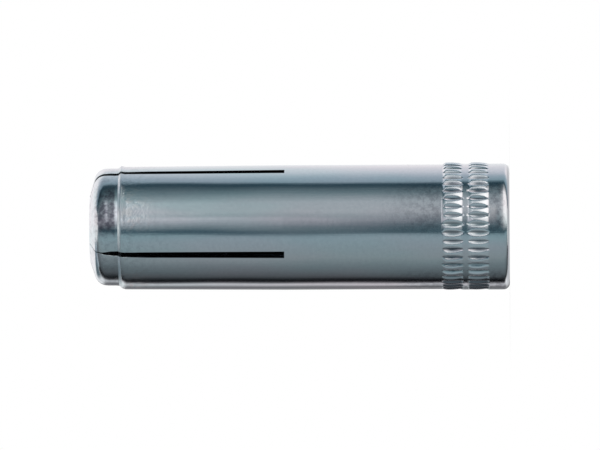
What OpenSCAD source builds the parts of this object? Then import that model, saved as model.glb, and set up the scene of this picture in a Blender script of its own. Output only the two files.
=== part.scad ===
// Drop-in anchor for an M10 bolt, set in a 12 mm drilled hole.
// A slotted steel sleeve with a tapped mouth holds a loose-fitted conical plug.
// The sleeve stands on its mouth: Z = 0 is the flat of the mouth and +Z points
// along the axis to the slotted nose. The slots lie on the X and Y planes.
// All sizes are in millimetres.

/* [Sleeve barrel] */
// Length of the sleeve from mouth to nose
sleeve_len = 40; // [38:0.5:50]
// Outside diameter of the barrel
barrel_d = 11.88; // [11.6:0.02:13]
// How far the mouth end stands out from the barrel, upset by the rolled knurl
mouth_swell = 0.06; // [0.02:0.01:0.12]
// Radius on the outer edge of the mouth
mouth_round = 0.6; // [0.3:0.05:0.8]

/* [Tapped bore] */
// Diameter drilled for the M10 thread
tap_drill_d = 8.5; // [8.4:0.05:8.7]
// Depth of the tapped bore from the mouth
tapped_depth = 14.8; // [12:0.2:15.4]
// Diameter of the countersink at the mouth
countersink_d = 10; // [9.2:0.1:10.4]
// Full angle of the countersink
countersink_angle = 90; // [60:5:120]

/* [Plug chamber] */
// Diameter of the smooth chamber behind the tapped bore
chamber_d = 8.1; // [7.8:0.05:8.2]
// Length of the cone from the tapped bore down to the chamber
chamber_step = 0.5; // [0.3:0.1:1]
// Straight length of the chamber past the widest stretch of the plug
chamber_lead = 3.2; // [1:0.2:5]
// Diameter of the bore where it leaves the nose
nose_bore_d = 6.1; // [5.6:0.1:6.6]
// Chamfer on the edge of that bore
nose_bore_chamfer = 0.15; // [0.05:0.05:0.3]

/* [Nose collar] */
// Length of the turned-down collar, from its shoulder to the nose
collar_len = 3; // [2.4:0.1:4]
// Depth of the collar below the barrel's surface
collar_step = 0.25; // [0.1:0.05:0.4]
// Radius on the barrel's edge at the shoulder
shoulder_round = 0.45; // [0.3:0.05:0.6]
// Radius between the collar and the end face
nose_round = 1.1; // [0.6:0.1:1.4]
// Angle at which the end face falls away from the bore
nose_fall = 13; // [5:1:20]

/* [Slots] */
// Number of slots, and so of expanding leaves
slot_count = 4; // [3:1:6]
// Width of a slot as it is sawn
slot_w = 0.62; // [0.4:0.02:1]
// Length of a slot from the nose
slot_len = 18.55; // [14:0.25:20]
// How far the tip of each leaf is pinched in towards the axis
leaf_pinch = 0.12; // [0:0.02:0.2]

/* [Knurl] */
// Number of grooves round each band
knurl_grooves = 45; // [36:1:50]
// Distance from the mouth to the first band
knurl_start = 2.1; // [1.2:0.1:4]
// Length of a band along the axis
knurl_band_len = 1.85; // [1.2:0.05:2.4]
// Plain length between the two bands
knurl_band_gap = 0.55; // [0.3:0.05:2]
// Height of the crests above the mouth end
knurl_height = 0.14; // [0.08:0.02:0.2]
// Length over which the ends of a crest slope down
knurl_slope = 0.22; // [0.1:0.02:0.4]
// Depth of a groove below the crests, at its middle
knurl_depth = 0.25; // [0.15:0.01:0.3]
// Full angle of a groove
knurl_angle = 80; // [60:5:90]
// Turn of the first groove from the plane of a slot
knurl_turn = 2.6; // [0:0.1:8]

/* [Expander plug] */
// Length of the plug
plug_len = 11; // [9:0.5:13]
// Length of the straight stretch at its wide end
plug_land = 2.4; // [1:0.2:4]
// Diameter of its narrow end
plug_tip_d = 5.7; // [5:0.1:6.2]
// Chamfer on its wide end
plug_back_chamfer = 0.35; // [0.1:0.05:0.6]
// Radius on its narrow end
plug_tip_round = 0.5; // [0.2:0.1:0.8]
// Depth of the centre mark that the forming punch leaves in its wide end
plug_dimple = 0.3; // [0.1:0.05:0.5]
// Clearance round the plug in the chamber
plug_clear = 0.02; // [0.01:0.01:0.06]
// Distance from the chamber's step to the wide end of the plug
plug_setback = 0.9; // [0.2:0.1:2]

/* [Hidden] */

zinc = [0.62, 0.67, 0.70];
plug_steel = [0.50, 0.52, 0.54];

$fn = 96;
// Number of steps in a rounded edge
round_steps = 6;
// Overshoot of a cut past the surface that it opens
over = 0.5;

barrel_r = barrel_d / 2;
mouth_r = barrel_r + mouth_swell;
crest_r = mouth_r + knurl_height;
tap_r = tap_drill_d / 2;
chamber_r = chamber_d / 2;
nose_bore_r = nose_bore_d / 2;
countersink_depth = (countersink_d - tap_drill_d) / 2 / tan(countersink_angle / 2);

first_band = knurl_start;
second_band = first_band + knurl_band_len + knurl_band_gap;

slot_root = sleeve_len - slot_len;
shoulder_z = sleeve_len - collar_len;

chamber_z = tapped_depth + chamber_step;
plug_z = chamber_z + plug_setback;
plug_r = chamber_r - plug_clear;
taper_z = plug_z + plug_land + chamber_lead;

// A leaf bends from the slot's root, so its surface leans in along its length.
function pinch_at(z) = leaf_pinch * max(0, z - slot_root) / slot_len;
function barrel_at(z) = barrel_r - pinch_at(z);
function collar_at(z) = barrel_at(z) - collar_step;

// A slot closes as the leaves on both sides of it are pinched in.
function slot_w_at(z) = slot_w - 2 * pinch_at(z) * sin(180 / slot_count);

// Points on an arc about [r, z], from one angle to the other.
function arc(r, z, radius, from, to) =
    [for (i = [0 : round_steps])
        let (a = from + (to - from) * i / round_steps)
        [r + radius * cos(a), z + radius * sin(a)]];

collar_r = collar_at(sleeve_len - nose_round);
nose_round_z = sleeve_len
    - nose_round * cos(nose_fall)
    - (collar_r - nose_round + nose_round * sin(nose_fall)
        - nose_bore_r - nose_bore_chamfer) * tan(nose_fall);
shoulder_turn = acos(max(0, 1 - collar_step / shoulder_round));
shoulder_round_z = shoulder_z - shoulder_round * sin(shoulder_turn);

// Half-section of the sleeve before it is slotted and knurled
module sleeve_section() {
    polygon(concat(
        [[countersink_d / 2, 0]],
        arc(mouth_r - mouth_round, mouth_round, mouth_round, -90, 0),
        [[mouth_r, second_band + knurl_slope],
         [barrel_r, second_band + knurl_band_len - knurl_slope],
         [barrel_r, slot_root]],
        arc(barrel_at(shoulder_round_z) - shoulder_round, shoulder_round_z,
            shoulder_round, 0, shoulder_turn),
        [[collar_at(shoulder_z), shoulder_z]],
        arc(collar_r - nose_round, nose_round_z, nose_round, 0, 90 - nose_fall),
        [[nose_bore_r + nose_bore_chamfer, sleeve_len],
         [nose_bore_r, sleeve_len - nose_bore_chamfer],
         [chamber_r, taper_z],
         [chamber_r, chamber_z],
         [tap_r, tapped_depth],
         [tap_r, countersink_depth]]
    ));
}

// Raised ring that a band of the knurl is rolled from, at height z. Its upper
// end slopes down to radius top_r.
module knurl_ring(z, top_r) {
    translate([0, 0, z])
        rotate_extrude()
            polygon([
                [barrel_r - over, 0],
                [mouth_r, 0],
                [crest_r, knurl_slope],
                [crest_r, knurl_band_len - knurl_slope],
                [top_r, knurl_band_len],
                [barrel_r - over, knurl_band_len]
            ]);
}

// Wheel with a V edge, which leaves a groove that is deepest at its middle
// and runs out at both ends of the band
module groove_wheel() {
    reach = knurl_depth + over / 2;
    half_w = reach * tan(knurl_angle / 2);
    wheel_r = knurl_band_len * knurl_band_len / 8 / knurl_depth + knurl_depth / 2;
    translate([crest_r - knurl_depth + wheel_r, 0, 0])
        rotate([90, 0, 0])
            rotate_extrude()
                polygon([
                    [0, -half_w],
                    [wheel_r - reach, -half_w],
                    [wheel_r, 0],
                    [wheel_r - reach, half_w],
                    [0, half_w]
                ]);
}

// All the grooves of the band that starts at height z
module knurl_cuts(z) {
    for (i = [0 : knurl_grooves - 1])
        rotate(knurl_turn + i * 360 / knurl_grooves)
            translate([0, 0, z + knurl_band_len / 2])
                groove_wheel();
}

// The slots, cut from the nose down to their square roots
module slot_cuts() {
    top = sleeve_len + over;
    for (i = [0 : slot_count - 1])
        rotate(i * 360 / slot_count)
            translate([nose_bore_r / 2, 0, 0])
                rotate([90, 0, 90])
                    linear_extrude(barrel_r)
                        polygon([
                            [-slot_w / 2, slot_root],
                            [slot_w / 2, slot_root],
                            [slot_w_at(top) / 2, top],
                            [-slot_w_at(top) / 2, top]
                        ]);
}

// One-piece steel sleeve: mouth, knurled barrel, leaves and nose collar
module sleeve() {
    color(zinc)
        difference() {
            difference() {
                union() {
                    rotate_extrude() sleeve_section();
                    knurl_ring(first_band, mouth_r);
                    knurl_ring(second_band, barrel_r);
                }
                knurl_cuts(first_band);
            }
            knurl_cuts(second_band);
            slot_cuts();
        }
}

// Conical plug that spreads the leaves when it is driven towards the nose
module expander_plug() {
    tip_r = plug_tip_d / 2;
    dimple_r = plug_r / 3;
    color(plug_steel)
        translate([0, 0, plug_z])
            rotate_extrude()
                polygon(concat(
                    [[0, plug_dimple],
                     [dimple_r, 0],
                     [plug_r - plug_back_chamfer, 0],
                     [plug_r, plug_back_chamfer],
                     [plug_r, plug_land]],
                    arc(tip_r - plug_tip_round, plug_len - plug_tip_round,
                        plug_tip_round, 0, 90),
                    [[0, plug_len]]
                ));
}

sleeve();
expander_plug();
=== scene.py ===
import math

import bmesh
import bpy
import numpy as np
from mathutils import Matrix, Vector


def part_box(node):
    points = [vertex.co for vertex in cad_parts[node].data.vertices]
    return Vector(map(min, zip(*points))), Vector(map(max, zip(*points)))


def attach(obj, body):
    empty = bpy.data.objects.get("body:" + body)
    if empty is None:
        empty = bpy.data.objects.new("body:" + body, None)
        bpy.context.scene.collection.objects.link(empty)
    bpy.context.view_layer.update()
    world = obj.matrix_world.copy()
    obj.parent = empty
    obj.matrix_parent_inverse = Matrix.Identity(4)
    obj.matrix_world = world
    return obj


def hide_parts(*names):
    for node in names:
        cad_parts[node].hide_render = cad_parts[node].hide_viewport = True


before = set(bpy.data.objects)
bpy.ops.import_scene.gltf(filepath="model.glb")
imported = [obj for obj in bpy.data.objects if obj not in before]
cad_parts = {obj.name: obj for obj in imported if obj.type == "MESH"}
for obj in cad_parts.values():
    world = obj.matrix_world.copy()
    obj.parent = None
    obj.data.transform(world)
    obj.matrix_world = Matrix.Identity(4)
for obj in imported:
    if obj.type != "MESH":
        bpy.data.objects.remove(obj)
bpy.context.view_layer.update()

MM = 0.001
SEED = 7

# Sleeve
SLEEVE_LEN = (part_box("sleeve")[1].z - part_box("sleeve")[0].z) / MM
BARREL_R = 5.94
MOUTH_R = 6.0
MOUTH_ROUND = 0.6
CREST_R = 6.14
MAJOR_R = 5.0
TAP_R = 4.25
TAPPED_DEPTH = 14.8
THREAD_PITCH = 1.5
COUNTERSINK_R = 5.0
CHAMBER_R = 4.05
CHAMBER_Z = 15.3
TAPER_Z = 21.8
NOSE_BORE_R = 3.05
NOSE_BORE_CHAMFER = 0.15
COLLAR_LEN = 2.92
COLLAR_STEP = 0.25
COLLAR_OFFSET = 0.11
SHOULDER_ROUND = 0.25
SHOULDER_FALL = math.radians(44)
SHOULDER_FOOT = 0.15
ROOT_RISE = 0.02
ROOT_LEN = 0.33
NOSE_ROUND = 1.2
NOSE_FALL = math.radians(17)

# Slots
SLOTS = 4
SLOT_W = 0.62
SLOT_ROOT = SLEEVE_LEN - 18.55
LEAF_PINCH = 0.12
EDGE_BREAK = 0.022
SAW_WANDER = 0.014
SAW_WAVES = (3.1, 1.7, 0.9)
SAW_START = 0.8
# How far the burr on each leaf's tip closes a slot, and where it begins and is full
TIP_BURRS = (0.05, 0.12, 0.09, 0.19)
BURR_FROM = SLEEVE_LEN - 2.4
BURR_RUN = 1.6

# Knurl
GROOVES = 45
BAND_STARTS = (1.95, 4.43)
BAND_LEN = 2.0
BAND_SLOPE = 0.38
BAND_CROWN = 0.075
CROWN_TOP = 0.25
KNURL_LEAN = 0.14
GROOVE_DEPTH = 0.25
GROOVE_END_DEPTH = 0.19
GROOVE_HALF_ANGLE = math.radians(50)
GROOVE_TURN = math.radians(2.6)
GROOVE_ROUND = 0.03
CREST_ROUND = 0.06
# How much the grooves differ: in depth, in width and in the place of their deepest point
DEPTH_LUCK = 0.1
WIDTH_LUCK = 0.12
PLACE_LUCK = 0.08
# Heights where the mouth's rows end, the knurl's begin and end, and the barrel's begin
MOUTH_TOP = 1.8
KNURL_FROM = 1.86
KNURL_TO = 6.52
BARREL_FROM = 6.7

# Plug
PLUG_Z = 16.2
PLUG_LEN = 11.0
PLUG_R = 4.03
PLUG_LAND = 2.4
PLUG_TIP_R = 2.85
PLUG_TIP_ROUND = 0.5
PLUG_BACK_CHAMFER = 0.35
PLUG_DIMPLE = 0.3

# Fineness of the skins. A seam is the band of triangles that joins two patches, and the
# weld is in metres.
RING_COLUMNS = 240
LEAF_COLUMNS = 48
LEAF_ROWS = 60
TOOTH_COLUMNS = 14
THREAD_COLUMNS = 144
PLUG_COLUMNS = 160
SLOT_STEPS = np.linspace(-1, 1, 5)
SEAM = 0.1
WELD = 2e-8
SHARP_ANGLE = math.radians(32)

# The photograph: its size, and the places of the nose, the mouth and the axis in it
PHOTO_W = 600
PHOTO_H = 450
NOSE_X = 90.3
MOUTH_X = 509.6
AXIS_Y = 227.4
# The camera: its turn about the anchor, its roll, and how far off and above the mouth it is
CAMERA_AZIMUTH = math.radians(26)
CAMERA_ROLL = math.radians(0.25)
CAMERA_FAR = 1050
CAMERA_UP = 0.4


def smooth_step(x):
    x = np.clip(x, 0, 1)
    return x * x * (3 - 2 * x)


def soft_min(a, b, blend):
    """The lesser of two values, rounded where they cross."""
    share = np.clip(0.5 + (b - a) / (2 * blend), 0, 1)
    return b + (a - b) * share - blend * share * (1 - share)


def pinch_at(z):
    """How far a leaf leans in at a height."""
    return LEAF_PINCH * np.maximum(0, z - SLOT_ROOT) / (SLEEVE_LEN - SLOT_ROOT)


def slot_half_at(z, slot, side):
    """Half the width of a slot, with the wander of the saw on one side of it."""
    half = SLOT_W / 2 - pinch_at(z) * math.sin(math.pi / SLOTS)
    rng = np.random.default_rng(SEED + 10 * (slot % SLOTS) + side)
    wander = sum(rng.uniform(0.3, 1) * np.sin(2 * math.pi * (z / wave + rng.uniform()))
                 for wave in SAW_WAVES)
    half = half + SAW_WANDER * wander * smooth_step((z - SLOT_ROOT) / SAW_START) / 2
    return half - TIP_BURRS[slot % SLOTS] * smooth_step((z - BURR_FROM) / BURR_RUN)


def inner_at(z):
    """Radius of the smooth bore above the tapped one."""
    return np.interp(z, [TAPER_Z, SLEEVE_LEN - NOSE_BORE_CHAMFER], [CHAMBER_R, NOSE_BORE_R])


def arc(r, z, radius, start, end, steps):
    turn = np.radians(np.linspace(start, end, steps + 1))
    return np.column_stack([r + radius * np.cos(turn), z + radius * np.sin(turn)])


def line(start, end, steps):
    return np.linspace(start, end, steps + 1)


def path(*stretches):
    """Joins stretches of an outline, without the points that two of them share."""
    points = np.concatenate(stretches)
    step = np.linalg.norm(np.diff(points, axis=0), axis=1)
    return points[np.concatenate([[True], step > 1e-6])]


def path_normals(points):
    """Outward normals of an outline that runs up the outside and down the inside."""
    run = np.gradient(points, axis=0)
    run /= np.linalg.norm(run, axis=1)[:, None]
    return np.column_stack([run[:, 1], -run[:, 0]])


def polar(r, angle, z):
    r, angle, z = np.broadcast_arrays(r, angle, z)
    return np.stack([r * np.cos(angle), r * np.sin(angle), z], axis=-1)


def in_slot(slot, r, x, z):
    """A point beside a slot's middle plane: x across it, at radius r."""
    r, x, z = np.broadcast_arrays(r, x, z)
    return polar(r, slot * 2 * math.pi / SLOTS + np.arcsin(x / r), z)


class Skin:
    """Patches of points and faces, in millimetres, that are welded into one closed skin."""

    def __init__(self):
        self.points = []
        self.faces = []
        self.count = 0

    def add(self, points):
        points = np.asarray(points, float)
        shape = points.shape[:-1]
        numbers = self.count + np.arange(math.prod(shape)).reshape(shape)
        self.points.append(points.reshape(-1, 3))
        self.count += math.prod(shape)
        return numbers

    def patch(self, grid, closed=False):
        """Quads over a grid of points. A closed grid joins its last column to its first."""
        n = self.add(grid)
        if closed:
            n = np.concatenate([n, n[:, :1]], axis=1)
        corners = [n[:-1, :-1], n[:-1, 1:], n[1:, 1:], n[1:, :-1]]
        self.faces += np.stack(corners, axis=-1).reshape(-1, 4).tolist()

    def zip_rings(self, low, high):
        """Triangles between two closed rings that have different numbers of points."""
        rings = []
        for ring in (low, high):
            angle = np.arctan2(ring[:, 1], ring[:, 0]) % (2 * math.pi)
            order = np.argsort(angle)
            number = self.add(ring[order])
            rings.append((
                np.concatenate([number, number[:1]]),
                np.concatenate([angle[order], [angle[order][0] + 2 * math.pi]]),
            ))
        (low_n, low_a), (high_n, high_a) = rings
        i = j = 0
        while i < len(low_n) - 1 or j < len(high_n) - 1:
            low_turn = low_a[i + 1] if i < len(low_n) - 1 else math.inf
            high_turn = high_a[j + 1] if j < len(high_n) - 1 else math.inf
            if low_turn <= high_turn:
                self.faces.append([low_n[i], low_n[i + 1], high_n[j]])
                i += 1
            else:
                self.faces.append([low_n[i], high_n[j + 1], high_n[j]])
                j += 1

    def make(self, name, material, settle=None):
        """One mesh object in metres, welded, with its sharp edges kept sharp."""
        mesh = bpy.data.meshes.new(name)
        points = np.concatenate(self.points)
        if settle:
            points = settle(points)
        mesh.from_pydata((points * MM).tolist(), [], self.faces)
        shape = bmesh.new()
        shape.from_mesh(mesh)
        bmesh.ops.remove_doubles(shape, verts=shape.verts, dist=WELD)
        bmesh.ops.recalc_face_normals(shape, faces=shape.faces)
        for face in shape.faces:
            face.smooth = True
        for edge in shape.edges:
            if len(edge.link_faces) == 2:
                edge.smooth = edge.calc_face_angle(0) < SHARP_ANGLE
        shape.to_mesh(mesh)
        shape.free()
        piece = bpy.data.objects.new(name, mesh)
        bpy.context.collection.objects.link(piece)
        mesh.materials.append(material)
        return piece


def even_ring(columns, start=0.0):
    return start + np.arange(columns) * 2 * math.pi / columns


def slotted_ring(r):
    """Angles of a full ring whose points line up with the slots' edges and the leaves."""
    edge = math.asin((SLOT_W / 2 + EDGE_BREAK) / r)
    quarter = 2 * math.pi / SLOTS
    across = np.arcsin(SLOT_STEPS * (SLOT_W / 2 + EDGE_BREAK) / r)
    leaf = np.linspace(edge, quarter - edge, LEAF_COLUMNS + 1)[1:-1]
    return np.concatenate([k * quarter + np.concatenate([across, leaf]) for k in range(SLOTS)])


# Outline of the outside, from the edge of the countersink up to the nose

def mouth_outline():
    return path(
        line((COUNTERSINK_R + SEAM, 0), (MOUTH_R - MOUTH_ROUND, 0), 2),
        arc(MOUTH_R - MOUTH_ROUND, MOUTH_ROUND, MOUTH_ROUND, -90, 0, 10),
        line((MOUTH_R, MOUTH_ROUND), (MOUTH_R, MOUTH_TOP), 3),
    )


def nose_outline():
    """Outside of a leaf, from the root of the slots to the edge of the nose's bore."""
    def lean(points):
        return np.column_stack([points[:, 0] - pinch_at(points[:, 1]), points[:, 1]])

    collar_r = BARREL_R - COLLAR_STEP
    foot_z = SLEEVE_LEN - COLLAR_LEN + SHOULDER_FOOT
    drop = COLLAR_STEP - ROOT_RISE - SHOULDER_ROUND * (1 - math.cos(SHOULDER_FALL))
    round_z = foot_z - drop / math.tan(SHOULDER_FALL) - SHOULDER_ROUND * math.sin(SHOULDER_FALL)
    turn = math.degrees(SHOULDER_FALL)
    corner = arc(BARREL_R - SHOULDER_ROUND, round_z, SHOULDER_ROUND, 0, turn, 5)
    root = (collar_r + ROOT_RISE, foot_z)
    face_edge = NOSE_BORE_R + NOSE_BORE_CHAMFER
    tip_r = collar_r - LEAF_PINCH
    fall = tip_r - NOSE_ROUND + NOSE_ROUND * math.sin(NOSE_FALL) - face_edge
    arc_z = SLEEVE_LEN - NOSE_ROUND * math.cos(NOSE_FALL) - fall * math.tan(NOSE_FALL)
    crown = arc(tip_r - NOSE_ROUND, arc_z, NOSE_ROUND, 0, 90 - math.degrees(NOSE_FALL), 12)
    return path(
        lean(path(
            line((BARREL_R, SLOT_ROOT - EDGE_BREAK), (BARREL_R, SLOT_ROOT + 0.3), 2),
            line((BARREL_R, SLOT_ROOT + 0.3), corner[0], LEAF_ROWS),
            corner,
            line(corner[-1], root, 4),
            line(root, (collar_r, foot_z + ROOT_LEN), 3),
            line((collar_r, foot_z + ROOT_LEN), (collar_r, arc_z - SEAM), 5),
        )),
        crown,
        line(crown[-1], (face_edge, SLEEVE_LEN), 5),
    )


# Knurl, thread and slots

def knurl_rows():
    """Heights of the knurl's rows, closest together where a band begins and ends."""
    end, middle = np.linspace(0, 0.23, 8), np.linspace(0.29, 0.71, 8)
    share = np.concatenate([end, middle, 1 - end[::-1]])
    bands = [start + share * BAND_LEN for start in BAND_STARTS]
    between = [BAND_STARTS[0] + BAND_LEN + 0.18, BAND_STARTS[1] - 0.18]
    return np.concatenate([[KNURL_FROM], bands[0], between, bands[1], [KNURL_TO]])[:, None]


def knurl_radius(angle, z, luck):
    """Radius of the two rolled bands and of the plain metal beside them.

    Luck holds a number from -1 to 1 for each band, each kind of difference and each groove.
    """
    pitch = 2 * math.pi / GROOVES
    swell = [BAND_STARTS[1] + 0.3, BAND_STARTS[1] + BAND_LEN - 0.3]
    plain = np.interp(z, swell, [MOUTH_R, BARREL_R])
    tooth = np.round((angle - GROOVE_TURN) / pitch).astype(int)
    across = (angle - GROOVE_TURN - tooth * pitch) * CREST_R
    radius = np.array(np.broadcast_to(plain, np.broadcast(angle, z).shape))
    lean = KNURL_LEAN * ((1 - np.cos(angle - CAMERA_AZIMUTH)) / 2) ** 2
    for band, start in enumerate(BAND_STARTS):
        deeper, wider, shifted = (luck[band, k][tooth % GROOVES] for k in range(3))
        along = z - start
        rise = smooth_step(np.minimum(along, BAND_LEN - along) / BAND_SLOPE)
        crown = BAND_CROWN * (2 * along / BAND_LEN - 1 - CROWN_TOP) ** 2
        crest = plain + (CREST_R - lean - crown - plain) * rise
        reach = (2 * along / BAND_LEN - 1 - PLACE_LUCK * shifted) ** 2
        rise_out = (GROOVE_DEPTH - GROOVE_END_DEPTH) * reach
        floor = CREST_R - GROOVE_DEPTH * (1 + DEPTH_LUCK * deeper) + rise_out - lean
        flank = np.abs(across) / math.tan(GROOVE_HALF_ANGLE) * (1 - WIDTH_LUCK * wider)
        cut = soft_min(crest, floor + np.hypot(flank, GROOVE_ROUND), CREST_ROUND)
        inside = (along > 0) & (along < BAND_LEN)
        radius = np.where(inside, np.clip(cut, CREST_R - 0.3, CREST_R), radius)
    return radius


def thread_radius(turns):
    """Radius of the M10 thread at a height above the helix, in pitches."""
    crest, flank, root = 0.25, 0.5625, 0.6875
    return np.interp(turns % 1, [0, crest, flank, root, 1], [TAP_R, TAP_R, MAJOR_R, MAJOR_R, TAP_R])


def add_thread(skin):
    """The tapped bore: rows follow the helix, and stop at the mouth and at the bore's end."""
    phases = [0, 0.125, 0.25, 0.36, 0.46, 0.5625, 0.6875, 0.79, 0.9]
    top = TAPPED_DEPTH - SEAM
    pitches = math.ceil(top / THREAD_PITCH) + 1
    rows = np.array([n + phase for n in range(-1, pitches) for phase in phases])
    angle = np.linspace(0, 2 * math.pi, THREAD_COLUMNS + 1)
    z = np.clip(THREAD_PITCH * (rows[:, None] + angle / (2 * math.pi)), 0, top)
    turns = z / THREAD_PITCH - angle / (2 * math.pi)
    radius = np.maximum(thread_radius(turns), COUNTERSINK_R - z)
    skin.patch(polar(radius, angle, z)[::-1])
    return polar(radius, angle, z)[-1, :-1], polar(radius, angle, z)[0, :-1]


def add_slot(skin, slot, outer, inner):
    """Both walls of one slot, its square end and the broken edges round it."""
    out_n, in_n = path_normals(outer), path_normals(inner)
    in_n = in_n * np.sign(in_n[:, :1])
    out_wall = outer - EDGE_BREAK * out_n
    in_wall = inner + EDGE_BREAK * in_n
    out_wall[0] = (outer[0, 0] - EDGE_BREAK, SLOT_ROOT)
    in_wall[0] = (inner[0, 0] + EDGE_BREAK, SLOT_ROOT)
    for side in (-1, 1):
        def face(points):
            half = slot_half_at(points[:, 1], slot, side) + EDGE_BREAK
            return in_slot(slot, points[:, 0], side * half, points[:, 1])

        def wall(points):
            half = slot_half_at(points[:, 1], slot, side)
            return in_slot(slot, points[:, 0], side * half, points[:, 1])

        skin.patch(np.stack([wall(out_wall), wall(in_wall)], axis=1))
        surface = np.concatenate([outer, inner[::-1]])
        edge = np.concatenate([out_wall, in_wall[::-1]])
        skin.patch(np.stack([face(surface), wall(edge)], axis=1))
    half = SLOT_W / 2
    skin.patch(np.stack([
        in_slot(slot, outer[0, 0], SLOT_STEPS * (half + EDGE_BREAK), outer[0, 1]),
        in_slot(slot, out_wall[0, 0], SLOT_STEPS * half, SLOT_ROOT),
        in_slot(slot, in_wall[0, 0], SLOT_STEPS * half, SLOT_ROOT),
        in_slot(slot, inner[0, 0], SLOT_STEPS * (half + EDGE_BREAK), inner[0, 1]),
    ]))


def sleeve_skin():
    skin = Skin()
    rng = np.random.default_rng(SEED)
    luck = rng.uniform(-1, 1, (2, 3, GROOVES))

    mouth = mouth_outline()
    ring = even_ring(RING_COLUMNS)
    mouth_grid = polar(mouth[:, :1], ring, mouth[:, 1:])
    skin.patch(mouth_grid, closed=True)

    teeth = even_ring(GROOVES * TOOTH_COLUMNS, GROOVE_TURN)
    rows = knurl_rows()
    knurl_grid = polar(knurl_radius(teeth, rows, luck), teeth, rows)
    skin.patch(knurl_grid, closed=True)
    skin.zip_rings(mouth_grid[-1], knurl_grid[0])

    leaves = slotted_ring(BARREL_R)
    barrel_z = np.linspace(BARREL_FROM, SLOT_ROOT - EDGE_BREAK, 7)[:, None]
    barrel_grid = polar(BARREL_R, leaves, barrel_z)
    skin.patch(barrel_grid, closed=True)
    skin.zip_rings(knurl_grid[-1], barrel_grid[0])

    outer = nose_outline()
    share = (outer[:, 1] - outer[0, 1]) / (outer[-1, 1] - outer[0, 1])
    inner_z = outer[0, 1] + share * (SLEEVE_LEN - NOSE_BORE_CHAMFER - outer[0, 1])
    inner = np.column_stack([inner_at(inner_z), inner_z])
    round_nose = np.concatenate([outer, inner[::-1]])
    r, z = round_nose[:, :1], round_nose[:, 1:]
    quarter = 2 * math.pi / SLOTS
    for slot in range(SLOTS):
        add_slot(skin, slot, outer, inner)
        near = slot * quarter + np.arcsin((slot_half_at(z, slot, 1) + EDGE_BREAK) / r)
        far = (slot + 1) * quarter - np.arcsin((slot_half_at(z, slot + 1, -1) + EDGE_BREAK) / r)
        skin.patch(polar(r, near + np.linspace(0, 1, LEAF_COLUMNS + 1) * (far - near), z))

    bore = path(
        line((CHAMBER_R, SLOT_ROOT - EDGE_BREAK), (CHAMBER_R, CHAMBER_Z), 4),
        line((CHAMBER_R, CHAMBER_Z), (TAP_R, TAPPED_DEPTH), 2),
    )
    bore_ring = slotted_ring(CHAMBER_R)
    bore_grid = polar(bore[:, :1], bore_ring, bore[:, 1:])
    skin.patch(bore_grid, closed=True)
    thread_top, thread_mouth = add_thread(skin)
    skin.zip_rings(bore_grid[-1], thread_top)
    skin.zip_rings(thread_mouth, mouth_grid[0])
    return skin


def settle_sleeve(points):
    """The collar was turned a little off the barrel's axis, and the slots stay on it."""
    run_in = 0.5
    bore_edge, face_run = 3.3, 1.4
    r = np.hypot(points[:, 0], points[:, 1])
    share = smooth_step((points[:, 2] - (SLEEVE_LEN - COLLAR_LEN - run_in)) / run_in)
    share = share * smooth_step((r - bore_edge) / face_run)
    outward = points * (1, 1, 0) / r[:, None]
    shift = outward @ np.array(up_in_photo()) * COLLAR_OFFSET
    return points + (share * shift)[:, None] * outward


def plug_skin():
    skin = Skin()
    dimple_r = PLUG_R / 3
    outline = path(
        line((0.0, PLUG_DIMPLE), (dimple_r, 0), 6),
        line((dimple_r, 0), (PLUG_R - PLUG_BACK_CHAMFER, 0), 6),
        arc(PLUG_R - PLUG_BACK_CHAMFER, PLUG_BACK_CHAMFER, PLUG_BACK_CHAMFER, -90, 0, 6),
        line((PLUG_R, PLUG_BACK_CHAMFER), (PLUG_R, PLUG_LAND), 4),
        line((PLUG_R, PLUG_LAND), (PLUG_TIP_R, PLUG_LEN - PLUG_TIP_ROUND), 12),
        arc(PLUG_TIP_R - PLUG_TIP_ROUND, PLUG_LEN - PLUG_TIP_ROUND, PLUG_TIP_ROUND, 0, 90, 6),
        line((PLUG_TIP_R - PLUG_TIP_ROUND, PLUG_LEN), (0.0, PLUG_LEN), 6),
    )
    skin.patch(polar(outline[:, :1], even_ring(PLUG_COLUMNS), outline[:, 1:] + PLUG_Z), closed=True)
    return skin


# Materials

# Colours of the plated steel, and of the painted shade and painted highlights on it
COOL_ZINC = (0.74, 0.82, 0.83, 1)
WARM_ZINC = (0.84, 0.81, 0.835, 1)
GREY_SPECK = (0.50, 0.53, 0.56, 1)
PALE_FROST = (0.97, 0.94, 0.92, 1)
DULL_STAIN = (0.21, 0.205, 0.24, 1)
PAINTED_GLINT = (0.98, 0.90, 0.90, 1)
CREST_HIGHLIGHT = (0.92, 0.93, 0.95, 1)
GROOVE_SHADE = (0.07, 0.085, 0.11, 1)
SLOT_SHADE = (0.02, 0.03, 0.04, 1)
STEEL_SHADE = (0.30, 0.31, 0.33, 1)
# Turn in degrees from the camera to the painted glint between the knurl and the mouth
GLINT_TURN = 11
# Depth of the finest marks in the metal
FINE_MARKS = 0.02


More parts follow.
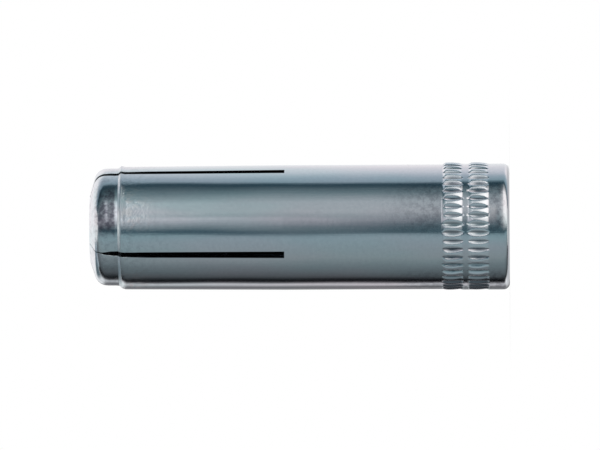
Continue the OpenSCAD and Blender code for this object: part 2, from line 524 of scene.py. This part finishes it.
class Wire:
    """A shader socket that takes part in Python arithmetic."""

    def __init__(self, tree, socket=None):
        self.tree = tree
        self.socket = socket

    def node(self, kind, settings=None, inputs=None, output=0):
        """A new node: its settings first, then the values or links of its sockets."""
        node = self.tree.nodes.new(kind)
        for name, value in (settings or {}).items():
            if name == "stops":
                for _ in value[2:]:
                    node.color_ramp.elements.new(0.5)
                for element, (place, colour) in zip(node.color_ramp.elements, value):
                    element.position = place
                    element.color = (*colour, 1)
            else:
                setattr(node, name, value)
        for name, value in (inputs or {}).items():
            if isinstance(value, Wire):
                self.tree.links.new(value.socket, node.inputs[name])
            else:
                node.inputs[name].default_value = value
        return Wire(self.tree, node.outputs[output])

    def math(self, operation, first, second=0.0):
        return self.node("ShaderNodeMath", {"operation": operation}, {0: first, 1: second})

    def __add__(self, other):
        return self.math("ADD", self, other)

    def __radd__(self, other):
        return self.math("ADD", other, self)

    def __sub__(self, other):
        return self.math("SUBTRACT", self, other)

    def __rsub__(self, other):
        return self.math("SUBTRACT", other, self)

    def __mul__(self, other):
        return self.math("MULTIPLY", self, other)

    def __rmul__(self, other):
        return self.math("MULTIPLY", other, self)

    def __truediv__(self, other):
        return self.math("DIVIDE", self, other)

    def between(self, low, high):
        """0 below low, 1 above high and even between them. It falls where high is the lesser."""
        return self.node("ShaderNodeMapRange", {"clamp": True},
                         {"Value": self, "From Min": low, "From Max": high})

    def within(self, low, full, fading, high):
        """1 from full to fading, and 0 below low and above high."""
        return self.between(low, full) * self.between(high, fading)

    def mix(self, first, second):
        """A colour between two, by this value."""
        return self.node("ShaderNodeMix", {"data_type": "RGBA"},
                         {"Factor": self, 6: first, 7: second}, output=2)

    def vector(self, operation, other, output="Vector"):
        return self.node("ShaderNodeVectorMath", {"operation": operation},
                         {0: self, 1: other}, output)

    def dot(self, other):
        return self.vector("DOT_PRODUCT", other, "Value")

    def length(self):
        return self.vector("LENGTH", (0, 0, 0), "Value")

    def stretched(self, x, y, z):
        return self.vector("MULTIPLY", (x, y, z))

    def axis(self, name):
        return self.node("ShaderNodeSeparateXYZ", None, {0: self}, name)

    def noise(self, scale, detail, roughness):
        return self.node("ShaderNodeTexNoise", None, {
            "Vector": self, "Scale": scale, "Detail": detail, "Roughness": roughness})


def new_material(name):
    """A new material, and a wire that holds places on the piece in millimetres."""
    material = bpy.data.materials.new(name)
    material.use_nodes = True
    material.node_tree.nodes.clear()
    place = Wire(material.node_tree).node("ShaderNodeTexCoord", output="Object")
    return material, place.stretched(1 / MM, 1 / MM, 1 / MM)


def finish_material(wire, shader):
    out = wire.tree.nodes.new("ShaderNodeOutputMaterial")
    wire.tree.links.new(shader.socket, out.inputs["Surface"])


def finish_metal(place, colour, roughness, relief):
    """Bare or plated steel, with its finest marks as a bump."""
    bump = place.node("ShaderNodeBump", None, {
        "Strength": 0.15, "Distance": FINE_MARKS * MM, "Height": relief})
    shader = place.node("ShaderNodeBsdfPrincipled", None, {
        "Base Color": colour, "Metallic": 1.0, "Roughness": roughness, "Normal": bump})
    finish_material(place, shader)


def knurl_marks(height, across, radius):
    """Painted shade in the grooves of the knurl and along its lower side, and a painted highlight on
    its crests.
    """
    slope = 0.2
    knurled = sum(height.within(low, low + slope, low + BAND_LEN - slope, low + BAND_LEN)
                  for low in BAND_STARTS)
    away = 0.5 - across.dot(up_in_photo()) / radius * 0.5
    upright = radius + away * away * KNURL_LEAN
    normal = across.node("ShaderNodeTexCoord", output="Normal")
    flank = normal.vector("CROSS_PRODUCT", across).axis("Z") / radius
    # Painted shade in the grooves, heavier on one flank of each groove and on the half of the knurl
    # that faces down in the view
    recess_shade = upright.between(MOUTH_R + 0.04, MOUTH_R - 0.06) * knurled
    recess_shade = recess_shade * (flank.between(-0.1, 0.4) * 0.4 + away.between(0.38, 0.58) * 0.6)
    # Painted highlight on the crests
    ridge = upright.between(MOUTH_R - 0.02, MOUTH_R + 0.06) * knurled
    # Painted shade along the side of the knurl that faces down in the view
    underside_shade = away.between(0.88, 0.93) * knurled
    return recess_shade, ridge, underside_shade


def slot_edge_shade(place, radius):
    """Painted shade along the edges of the slots, which fades towards the collar."""
    height = place.axis("Z")
    x_off = place.math("ABSOLUTE", place.axis("X"))
    y_off = place.math("ABSOLUTE", place.axis("Y"))
    closing = LEAF_PINCH * math.sin(math.pi / SLOTS) / (SLEEVE_LEN - SLOT_ROOT)
    off_slot = place.math("MINIMUM", x_off, y_off) + (height - SLOT_ROOT) * closing
    edge = SLOT_W / 2 + EDGE_BREAK
    dark_edge = off_slot.between(edge + 0.022, edge + 0.008) * radius.between(5.6, 5.7)
    return dark_edge * height.within(SLOT_ROOT - 0.06, SLOT_ROOT - 0.03, 34.5, 37.2)


def zinc_plate():
    """Bright zinc with a faint blue passivation, drawn lengthwise."""
    material, place = new_material("zinc_plate")
    height = place.axis("Z")
    across = place.stretched(1, 1, 0)
    radius = across.length()
    drawn = place.stretched(1, 1, 0.02).noise(9, 3, 0.6)
    speck = place.noise(3.2, 3, 0.6)
    blotch = place.noise(1.7, 4, 0.68)
    tone = place.stretched(1, 1, 0.2).noise(0.3, 2, 0.5)
    wave = place.stretched(1, 1, 0.3).noise(0.26, 1, 0.4)

    # Places where the plate differs
    x_share = place.axis("X") / radius
    y_share = place.axis("Y") / radius
    mid_leaf = place.math("ABSOLUTE", x_share * y_share * 2).between(0.5, 0.85)
    toward_spot = across.dot(spot_on_mouth()) / radius
    mouth_end = height.within(0.3, 0.6, 1.8, 2.0)
    beside_knurl = height.within(6.2, 6.8, 7.5, 12.5)
    near_nose = height.between(31.0, 38.5)
    by_shoulder = height.within(33.5, 36.2, 36.7, 37.0)
    collar = height.within(37.4, 37.6, 38.9, 39.5)
    shoulder = SLEEVE_LEN - COLLAR_LEN
    step = height.within(shoulder - 0.2, shoulder - 0.16, shoulder + 0.14, shoulder + 0.18)
    # Painted shade on the mouth's round next to the floor, and inside the bore and the slots away
    # from the nose
    rim_shade = height.between(0.32, 0.18) * radius.between(5.4, 5.6)
    inside = radius.between(5.6, 5.0) * height.between(38.5, 37.5)
    recess_shade, ridge, underside_shade = knurl_marks(height, across, radius)

    # Frost by the shoulder, stains at both ends and on one leaf's collar, and a painted glint between
    # the knurl and the mouth
    frost = blotch.between(0.50, 0.58) * by_shoulder * mid_leaf
    ends = 0.65 * mouth_end + 0.5 * beside_knurl
    stain = (blotch.between(0.42, 0.59) * 0.75 + 0.15) * ends * mid_leaf
    stained_leaf = toward_spot.between(0.5, 0.8) * 0.85 + 0.15
    stain = stain + (blotch.between(0.36, 0.62) * 0.4 + 0.55) * collar * mid_leaf * stained_leaf
    stain = stain + blotch.between(0.46, 0.66) * near_nose * 0.25
    # Painted glint: a pale pink highlight on the spot that nearly faces the camera
    glint = toward_spot.between(0.984, 0.994) * height.within(1.1, 1.5, 2.0, 2.2)
    glint = glint * blotch.between(0.30, 0.46) * 0.8

    colour = tone.between(0.38, 0.62).mix(COOL_ZINC, WARM_ZINC)
    colour = (speck.between(0.35, 0.7) * 0.14).mix(colour, GREY_SPECK)
    colour = (frost * 0.8).mix(colour, PALE_FROST)
    colour = stain.mix(colour, DULL_STAIN)
    colour = glint.mix(colour, PAINTED_GLINT)
    # Painted shade in the knurl's grooves and along its lower side, and a painted highlight on its
    # crests
    colour = (recess_shade * 0.93).mix(colour, GROOVE_SHADE)
    colour = ridge.mix(colour, CREST_HIGHLIGHT)
    colour = (underside_shade * 0.8).mix(colour, GROOVE_SHADE)
    # Painted shade on the mouth's round, along the edges of the slots and inside
    colour = (rim_shade * 0.75).mix(colour, STEEL_SHADE)
    colour = (slot_edge_shade(place, radius) * 0.95).mix(colour, SLOT_SHADE)
    colour = inside.mix(colour, STEEL_SHADE)

    worn_nose = near_nose * blotch.between(0.4, 0.7)
    roughness = 0.09 + drawn * 0.05 + worn_nose * 0.1 + ridge * 0.1 + step * 0.2
    scuffed = near_nose * height.between(39.0, 38.4)
    relief = drawn * 0.9 + speck * 0.4 + blotch * (scuffed * 2.2 + by_shoulder * 5.0) + wave * 36.0
    finish_metal(place, colour, roughness, relief)
    return material


def plug_steel():
    """Cold-formed steel, duller than the sleeve."""
    material, place = new_material("plug_steel")
    grain = place.noise(2.6, 3, 0.6)
    cloud = place.noise(0.5, 2, 0.5)
    colour = cloud.between(0.35, 0.65).mix((0.42, 0.43, 0.45, 1), (0.50, 0.50, 0.51, 1))
    finish_metal(place, colour, 0.28 + grain * 0.1, grain)
    return material


# Studio. The tent is an upright drum that stands open above and below.

TENT_R = 500
TENT_LOW = -1500
TENT_HIGH = 1900
TENT_EAVE = 1600
STAND_R = 17.0
WHITE_CLOTH = (0.95, 0.95, 0.97, 1)
# The tent's cloths and cards, by their turn in degrees from the camera towards the top of
# the photograph
PANELS = [
    (-180, (0.20, 0.20, 0.21)),
    (-155, (0.24, 0.24, 0.25)),
    (-147, (0.12, 0.12, 0.13)),
    (-139, (0.40, 0.40, 0.42)),
    (-132, (0.66, 0.65, 0.68)),
    (-125, (0.12, 0.12, 0.13)),
    (-121, (0.005, 0.005, 0.007)),
    (-113, (0.01, 0.012, 0.014)),
    (-104, (0.08, 0.09, 0.10)),
    (-78, (0.16, 0.19, 0.21)),
    (-60, (0.24, 0.29, 0.31)),
    (-20, (0.26, 0.345, 0.385)),
    (-14, (0.23, 0.32, 0.36)),
    (-11, (0.05, 0.095, 0.12)),
    (-2, (0.05, 0.095, 0.12)),
    (8, (0.11, 0.15, 0.18)),
    (21, (0.26, 0.31, 0.34)),
    (30, (0.38, 0.43, 0.46)),
    (48, (0.36, 0.43, 0.46)),
    (66, (0.14, 0.21, 0.235)),
    (84, (0.02, 0.05, 0.07)),
    (89, (0.035, 0.075, 0.10)),
    (93, (0.25, 0.35, 0.41)),
    (104, (0.34, 0.43, 0.50)),
    (122, (0.60, 0.66, 0.72)),
    (152, (0.85, 0.85, 0.88)),
    (180, (0.95, 0.95, 0.97)),
]


def toward_camera():
    a = CAMERA_AZIMUTH
    return Vector((math.sin(a), -math.cos(a), 0))


def up_in_photo():
    a = CAMERA_AZIMUTH
    return Vector((math.cos(a), math.sin(a), 0))


def spot_on_mouth():
    """Direction of the painted glint between the knurl and the mouth."""
    turn = math.radians(GLINT_TURN)
    return toward_camera() * math.cos(turn) + up_in_photo() * math.sin(turn)


def directly_seen(wire):
    """1 for what the camera sees, itself or in metal and glass."""
    rays = ("Is Camera Ray", "Is Glossy Ray", "Is Transmission Ray")
    seen, glossy, through = (wire.node("ShaderNodeLightPath", output=ray) for ray in rays)
    return wire.math("MINIMUM", seen + glossy + through, 1.0)


def tent_cloth(place):
    """Colour of the tent's inside, by the turn from the camera and by the height."""
    height = place.axis("Z")
    ahead = place.dot(toward_camera()) / TENT_R
    above = place.dot(up_in_photo()) / TENT_R
    turn = place.math("ARCTAN2", above, ahead) * (180 / math.pi)

    # The panels hang slanted where the middle of the barrel mirrors them
    slant = turn.within(-12.5, -7.5, -4, 30) * height.between(18, 46) * 16
    stops = [((angle + 180) / 360, colour) for angle, colour in PANELS]
    cloth = place.node("ShaderNodeValToRGB", {"stops": stops}, {"Fac": (turn + slant) / 360 + 0.5})

    # Narrow cloths in front, at the heights that the barrel mirrors
    streak = turn.within(-2.5, 14, 16, 22) * height.between(22, 42)
    gap = turn.within(-11.8, -8, -6, -2.5) * height.between(36, 42)
    veiled = height.within(18, 28, 36, 42)
    veil = turn.within(-11.5, -9.5, 0, 5) * veiled
    hem = turn.within(-17, -14, -11.5, -9.5) * veiled
    cloth = streak.mix(cloth, (0.50, 0.50, 0.55, 1))
    cloth = gap.mix(cloth, (0.04, 0.08, 0.11, 1))
    cloth = veil.mix(cloth, (0.14, 0.19, 0.215, 1))
    cloth = hem.mix(cloth, (0.24, 0.33, 0.37, 1))

    # Cloths further up and behind, for the shoulder and the round of the nose
    behind = ahead.between(-0.5, -0.7) * height.between(80, 160)
    flare = turn.within(-132, -126, -112, -104) * height.between(420, 550)
    shade = turn.within(-162, -154, -130, -124) * height.within(220, 340, 1100, 1500)
    shaded = height.between(450, 850).mix((0.12, 0.165, 0.19, 1), (0.20, 0.275, 0.33, 1))
    cloth = behind.mix(cloth, WHITE_CLOTH)
    cloth = flare.mix(cloth, (0.42, 0.49, 0.55, 1))
    cloth = shade.mix(cloth, shaded)

    # Below the mouth behind, the eave above all, and two white cards in front
    low = ahead.between(-0.4, -0.65) * height.between(-80, -200)
    eave = above.between(-0.7, 0.3).mix((0.22, 0.25, 0.28, 1), (1, 1, 1, 1))
    card = turn.within(-8, 18, 66, 86) * height.between(-15, -55)
    strip = turn.within(9, 15, 48, 56) * height.within(66, 75, 130, 150)
    cloth = low.mix(cloth, WHITE_CLOTH)
    cloth = height.between(TENT_EAVE - 40, TENT_EAVE + 40).mix(cloth, eave)
    cloth = card.mix(cloth, (1.1, 1.1, 1.1, 1))
    return strip.mix(cloth, (0.9, 0.95, 1.0, 1))


def light_tent():
    """Open white tent with grey and dark panels, as used to photograph bright metal."""
    skin = Skin()
    rows = np.array([TENT_LOW, 0.0, TENT_EAVE, TENT_HIGH])[:, None]
    skin.patch(polar(TENT_R, even_ring(128), rows), closed=True)
    material, place = new_material("tent_cloth")
    glow = place.node("ShaderNodeEmission", None, {"Color": tent_cloth(place), "Strength": 1.0})
    finish_material(place, glow)
    tent = skin.make("light_tent", material)
    tent.visible_camera = False
    tent.visible_diffuse = False
    tent.visible_shadow = False


def studio_floor():
    """Small pale stand. It takes the anchor's shadow and fades into the white round it."""
    skin = Skin()
    radii = np.array([0.0, 7.0, STAND_R])[:, None]
    skin.patch(polar(radii, even_ring(96), 0.0), closed=True)
    material, place = new_material("pale_floor")
    fade = place.length().between(0.6 * STAND_R, 0.95 * STAND_R)
    paper = place.node("ShaderNodeBsdfDiffuse", None, {"Color": (0.8, 0.8, 0.8, 1)})
    white = place.node("ShaderNodeEmission", None, {"Strength": directly_seen(place)})
    finish_material(place, place.node("ShaderNodeMixShader", None, {"Fac": fade, 1: paper, 2: white}))
    floor = skin.make("pale_floor", material)
    floor.visible_glossy = False


def studio_world():
    world = bpy.data.worlds.new("studio")
    world.use_nodes = True
    bpy.context.scene.world = world
    tree = world.node_tree
    tree.nodes.clear()
    w = Wire(tree)
    strength = 0.5 + directly_seen(w) * 0.5
    sky = w.node("ShaderNodeBackground", None, {"Color": (1, 1, 1, 1), "Strength": strength})
    out = tree.nodes.new("ShaderNodeOutputWorld")
    tree.links.new(sky.socket, out.inputs["Surface"])


def add_lamp():
    """Soft lamp above and behind the anchor, that lights the stand and throws the shadow."""
    turn, height = math.radians(120), math.radians(40)
    flat = toward_camera() * math.cos(turn) + up_in_photo() * math.sin(turn)
    aim = flat * math.cos(height) + Vector((0, 0, math.sin(height)))
    data = bpy.data.lights.new("lamp", "SUN")
    data.energy = 2.2
    data.angle = math.radians(20)
    lamp = bpy.data.objects.new("lamp", data)
    lamp.rotation_euler = aim.to_track_quat("Z", "Y").to_euler()
    lamp.location = aim
    lamp.visible_glossy = False
    bpy.context.collection.objects.link(lamp)


def add_camera():
    """Level with the mouth, square to the axis, rolled so that the nose points left."""
    scale = (MOUTH_X - NOSE_X) / SLEEVE_LEN
    middle = (MOUTH_X - PHOTO_W / 2) / scale
    rise = (AXIS_Y - PHOTO_H / 2) / scale
    up = up_in_photo()
    target = Vector((0, 0, middle)) + up * rise
    place = target + toward_camera() * CAMERA_FAR
    place.z = CAMERA_UP
    back = (place - target).normalized()
    up = up * math.cos(CAMERA_ROLL) - Vector((0, 0, 1)) * math.sin(CAMERA_ROLL)
    right = up.cross(back).normalized()
    up = back.cross(right)
    turn = Matrix((right, up, back)).transposed().to_4x4()
    data = bpy.data.cameras.new("camera")
    data.sensor_width = 36
    data.lens = data.sensor_width * CAMERA_FAR * scale / PHOTO_W
    data.clip_end = 100
    camera = bpy.data.objects.new("camera", data)
    camera.matrix_world = Matrix.Translation(place * MM) @ turn
    bpy.context.collection.objects.link(camera)
    bpy.context.scene.camera = camera


zinc = zinc_plate()
sleeve = sleeve_skin().make("sleeve_body", zinc, settle=settle_sleeve)
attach(sleeve, "root")
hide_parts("sleeve")

plug = plug_skin().make("expander_cone", plug_steel())
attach(plug, "root")
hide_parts("expander_plug")

light_tent()
studio_floor()
studio_world()
add_lamp()
add_camera()
bpy.context.scene.view_settings.view_transform = "Standard"
